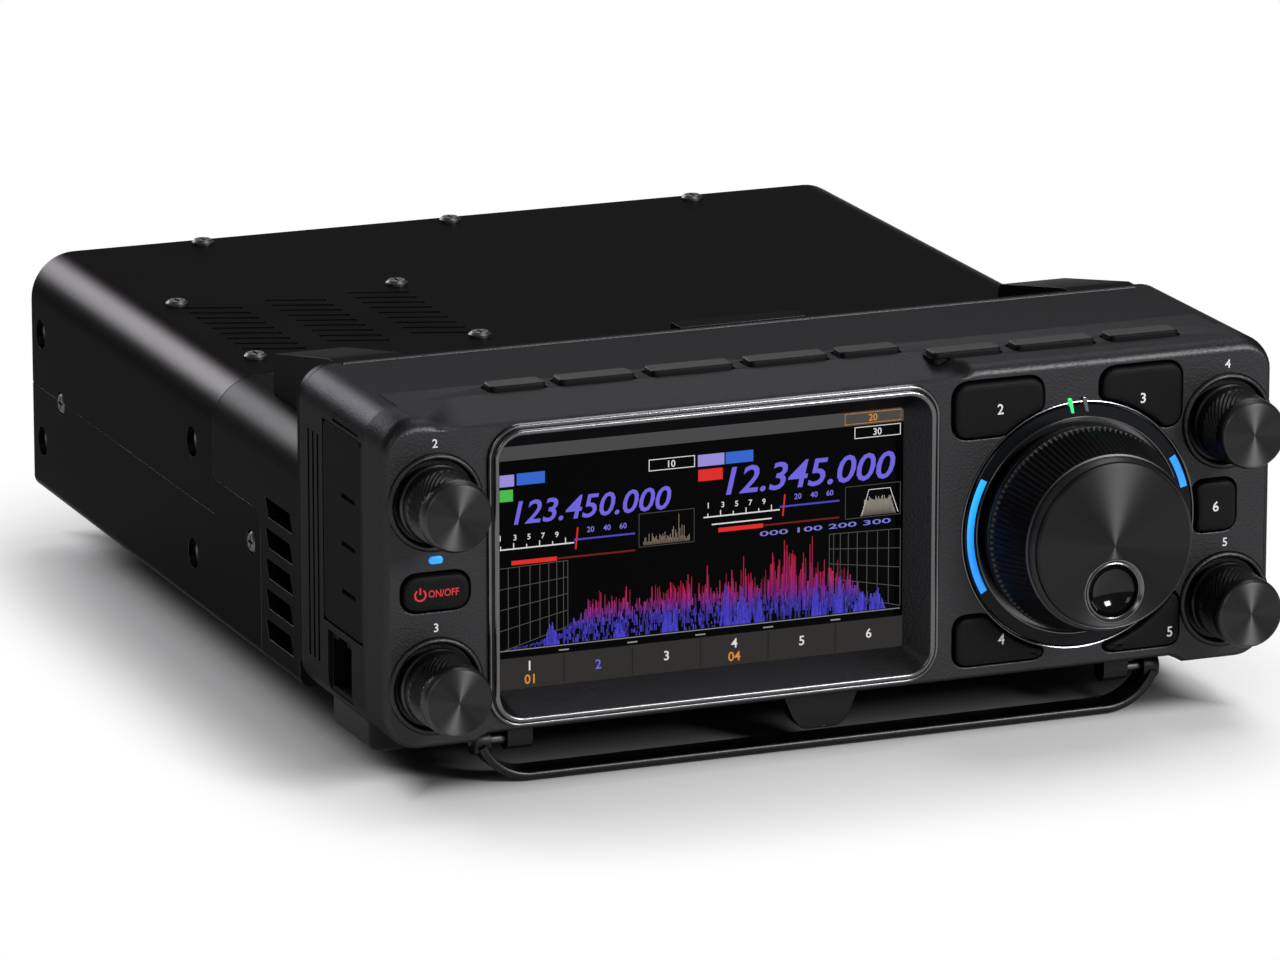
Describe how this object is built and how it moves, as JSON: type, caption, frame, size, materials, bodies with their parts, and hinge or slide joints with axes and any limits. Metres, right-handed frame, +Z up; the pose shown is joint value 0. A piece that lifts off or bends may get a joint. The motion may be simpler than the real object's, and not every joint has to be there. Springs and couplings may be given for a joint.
{
  "type": "mobile transceiver",
  "caption": "Mobile transceiver: control head with colour display, tuning dial, push knobs and keys, docked to a black power amplifier deck with a fold-down stand and rubber feet.",
  "frame": {"origin": "bottom centre of the bounding box, at table level under the feet", "axes": "+X to the right seen from the front, +Y to the rear, +Z up"},
  "size_m": [0.2162, 0.2822, 0.0891],
  "materials": {
    "panel": "satin moulded plastic",
    "case": "fine textured plastic",
    "trim": "polished edge",
    "glass": "clear touch glass",
    "lcd": "lit colour display",
    "board": "solder mask",
    "component": "metal cased components",
    "light_blue": "lit light pipe",
    "light_green": "lit light pipe",
    "rubber": "matt rubber",
    "key": "satin key cap",
    "grip": "fine grooved grip",
    "spun": "spun dark anodised face",
    "gloss": "gloss black cup",
    "steel": "plated steel",
    "frame": "black painted casting",
    "cover": "black textured paint on sheet",
    "casting": "black painted casting",
    "socket": "nickel plate",
    "brass": "plated brass"
  },
  "bodies": {
    "deck": {"front_panel": "panel", "display_frame": "trim", "touch_glass": "glass", "lcd_module": "lcd", "rear_case": "case", "control_board": "board", "top_key_board": "board", "logic_board": "board", "key_switches": "component", "encoder_bodies": "component", "dial_encoder": "component", "dial_light_ring": "light_blue", "status_lights": "light_green", "power_light": "light_blue", "side_jacks": "case", "mic_socket": "case", "stand_pivots": "steel", "front_frame": "frame", "top_cover": "cover", "bottom_cover": "cover", "chassis": "casting", "antenna_sockets": "socket", "dc_inlet": "case", "ground_post": "brass", "rear_jacks": "case", "fan_frame": "case", "speaker": "case", "power_board": "board", "cover_screws": "steel", "feet": "rubber"},
    "dial": {"main_dial": "grip", "dial_face": "spun", "finger_cup": "gloss", "dial_shaft": "steel"},
    "shaft_upper_left": {"shaft_upper_left": "steel"},
    "knob_upper_left": {"knob_upper_left": "grip"},
    "shaft_lower_left": {"shaft_lower_left": "steel"},
    "knob_lower_left": {"knob_lower_left": "grip"},
    "shaft_upper_right": {"shaft_upper_right": "steel"},
    "knob_upper_right": {"knob_upper_right": "grip"},
    "shaft_lower_right": {"shaft_lower_right": "steel"},
    "knob_lower_right": {"knob_lower_right": "grip"},
    "key_band": {"key_band": "key"},
    "key_clarifier": {"key_clarifier": "key"},
    "key_back": {"key_back": "key"},
    "key_fine": {"key_fine": "key"},
    "key_display": {"key_display": "key"},
    "key_power": {"key_power": "key"},
    "top_key_1": {"top_key_1": "key"},
    "top_key_2": {"top_key_2": "key"},
    "top_key_3": {"top_key_3": "key"},
    "top_key_4": {"top_key_4": "key"},
    "top_key_5": {"top_key_5": "key"},
    "top_key_6": {"top_key_6": "key"},
    "top_key_7": {"top_key_7": "key"},
    "top_key_8": {"top_key_8": "key"},
    "stand": {"stand": "frame"},
    "jack_cover": {"jack_cover": "rubber"},
    "fan_rotor": {"fan_rotor": "case"}
  },
  "joints": [
    {"name": "dial_turn", "type": "hinge", "parent": "deck", "child": "dial", "pos_m": [0.0596, -0.1211, 0.0479], "axis": [0, -1, 0], "continuous": true},
    {"name": "knob_turn_upper_left", "type": "hinge", "parent": "deck", "child": "shaft_upper_left", "pos_m": [-0.096, -0.1211, 0.0687], "axis": [0, -1, 0], "continuous": true},
    {"name": "knob_push_upper_left", "type": "slide", "parent": "shaft_upper_left", "child": "knob_upper_left", "axis": [0, 1, 0], "range_m": [0, 0.0006], "stiffness_N_per_m": 2500},
    {"name": "knob_turn_lower_left", "type": "hinge", "parent": "deck", "child": "shaft_lower_left", "pos_m": [-0.096, -0.1211, 0.0267], "axis": [0, -1, 0], "continuous": true},
    {"name": "knob_push_lower_left", "type": "slide", "parent": "shaft_lower_left", "child": "knob_lower_left", "axis": [0, 1, 0], "range_m": [0, 0.0006], "stiffness_N_per_m": 2500},
    {"name": "knob_turn_upper_right", "type": "hinge", "parent": "deck", "child": "shaft_upper_right", "pos_m": [0.0966, -0.1211, 0.0687], "axis": [0, -1, 0], "continuous": true},
    {"name": "knob_push_upper_right", "type": "slide", "parent": "shaft_upper_right", "child": "knob_upper_right", "axis": [0, 1, 0], "range_m": [0, 0.0006], "stiffness_N_per_m": 2500},
    {"name": "knob_turn_lower_right", "type": "hinge", "parent": "deck", "child": "shaft_lower_right", "pos_m": [0.0966, -0.1211, 0.0267], "axis": [0, -1, 0], "continuous": true},
    {"name": "knob_push_lower_right", "type": "slide", "parent": "shaft_lower_right", "child": "knob_lower_right", "axis": [0, 1, 0], "range_m": [0, 0.0006], "stiffness_N_per_m": 2500},
    {"name": "key_band_press", "type": "slide", "parent": "deck", "child": "key_band", "axis": [0, 1, 0], "range_m": [0, 0.0008], "stiffness_N_per_m": 1500},
    {"name": "key_clarifier_press", "type": "slide", "parent": "deck", "child": "key_clarifier", "axis": [0, 1, 0], "range_m": [0, 0.0008], "stiffness_N_per_m": 1500},
    {"name": "key_back_press", "type": "slide", "parent": "deck", "child": "key_back", "axis": [0, 1, 0], "range_m": [0, 0.0008], "stiffness_N_per_m": 1500},
    {"name": "key_fine_press", "type": "slide", "parent": "deck", "child": "key_fine", "axis": [0, 1, 0], "range_m": [0, 0.0008], "stiffness_N_per_m": 1500},
    {"name": "key_display_press", "type": "slide", "parent": "deck", "child": "key_display", "axis": [0, 1, 0], "range_m": [0, 0.0008], "stiffness_N_per_m": 1500},
    {"name": "key_power_press", "type": "slide", "parent": "deck", "child": "key_power", "axis": [0, 1, 0], "range_m": [0, 0.0008], "stiffness_N_per_m": 1500},
    {"name": "top_key_1_press", "type": "slide", "parent": "deck", "child": "top_key_1", "axis": [0, 0, -1], "range_m": [0, 0.0008], "stiffness_N_per_m": 1500},
    {"name": "top_key_2_press", "type": "slide", "parent": "deck", "child": "top_key_2", "axis": [0, 0, -1], "range_m": [0, 0.0008], "stiffness_N_per_m": 1500},
    {"name": "top_key_3_press", "type": "slide", "parent": "deck", "child": "top_key_3", "axis": [0, 0, -1], "range_m": [0, 0.0008], "stiffness_N_per_m": 1500},
    {"name": "top_key_4_press", "type": "slide", "parent": "deck", "child": "top_key_4", "axis": [0, 0, -1], "range_m": [0, 0.0008], "stiffness_N_per_m": 1500},
    {"name": "top_key_5_press", "type": "slide", "parent": "deck", "child": "top_key_5", "axis": [0, 0, -1], "range_m": [0, 0.0008], "stiffness_N_per_m": 1500},
    {"name": "top_key_6_press", "type": "slide", "parent": "deck", "child": "top_key_6", "axis": [0, 0, -1], "range_m": [0, 0.0008], "stiffness_N_per_m": 1500},
    {"name": "top_key_7_press", "type": "slide", "parent": "deck", "child": "top_key_7", "axis": [0, 0, -1], "range_m": [0, 0.0008], "stiffness_N_per_m": 1500},
    {"name": "top_key_8_press", "type": "slide", "parent": "deck", "child": "top_key_8", "axis": [0, 0, -1], "range_m": [0, 0.0008], "stiffness_N_per_m": 1500},
    {"name": "stand_fold", "type": "hinge", "parent": "deck", "child": "stand", "pos_m": [0, -0.1108, 0.0099], "axis": [1, 0, 0], "range_deg": [0, 80]},
    {"name": "jack_cover_open", "type": "hinge", "parent": "deck", "child": "jack_cover", "pos_m": [-0.108, -0.0817, 0.0564], "axis": [0, 0, -1], "range_deg": [0, 110]},
    {"name": "fan_spin", "type": "hinge", "parent": "deck", "child": "fan_rotor", "pos_m": [-0.034, 0.1171, 0.0425], "axis": [0, 1, 0], "continuous": true}
  ]
}
